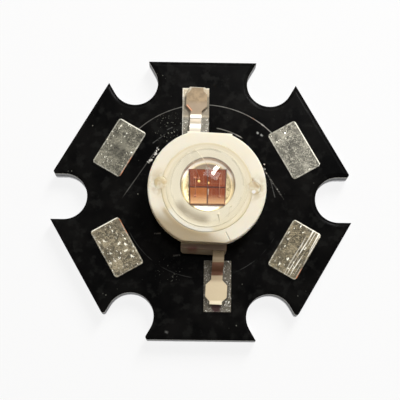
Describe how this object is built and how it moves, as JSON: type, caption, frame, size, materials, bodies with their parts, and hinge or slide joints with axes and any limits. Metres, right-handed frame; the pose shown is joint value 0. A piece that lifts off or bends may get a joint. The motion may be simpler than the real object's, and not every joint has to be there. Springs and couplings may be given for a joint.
{
  "type": "high power light emitting diode on a star board",
  "caption": "Dome-lensed high power light emitting diode with gull-wing leads, soldered to a slotted hexagonal aluminium-core star board with black mask and tinned lands.",
  "frame": {"origin": "centre of the board's underside, which is also the middle of the box's base", "axes": "+Z out of the lens, +X through the middle of one screw slot, +Y through the middle of the flat that the upper lead points to"},
  "size_m": [0.0212, 0.02, 0.0069],
  "materials": {
    "aluminium_core": "rolled",
    "dielectric": "matte",
    "copper_foil": "satin",
    "solder_mask": "semi-gloss",
    "tinning": "dull",
    "lead_solder": "satin",
    "lead_plating": "bright tin",
    "package_moulding": "satin",
    "slug_plating": "bright silver",
    "die_adhesive": "matte",
    "die": "satin",
    "gold_wire": "bright",
    "silicone": "clear gel",
    "lens": "clear polished"
  },
  "bodies": {
    "root": {"core_plate": "aluminium_core", "dielectric_layer": "dielectric", "upper_electrode": "copper_foil", "lower_electrode": "copper_foil", "thermal_land": "copper_foil", "solder_mask": "solder_mask", "wire_tin_upper_left": "tinning", "wire_tin_upper_right": "tinning", "wire_tin_lower_left": "tinning", "wire_tin_lower_right": "tinning", "upper_lead_joint": "lead_solder", "lower_lead_joint": "lead_solder", "slug_joint": "lead_solder", "upper_lead": "lead_plating", "lower_lead": "lead_plating", "package_body": "package_moulding", "heat_slug": "slug_plating", "die_attach": "die_adhesive", "die_upper_left": "die", "die_upper_right": "die", "die_lower_left": "die", "die_lower_right": "die", "lead_wire_left": "gold_wire", "lead_wire_right": "gold_wire", "chain_wire_left": "gold_wire", "chain_wire_right": "gold_wire", "slug_wire_inner": "gold_wire", "slug_wire_outer": "gold_wire", "silicone_fill": "silicone", "dome_lens": "lens"}
  },
  "joints": []
}
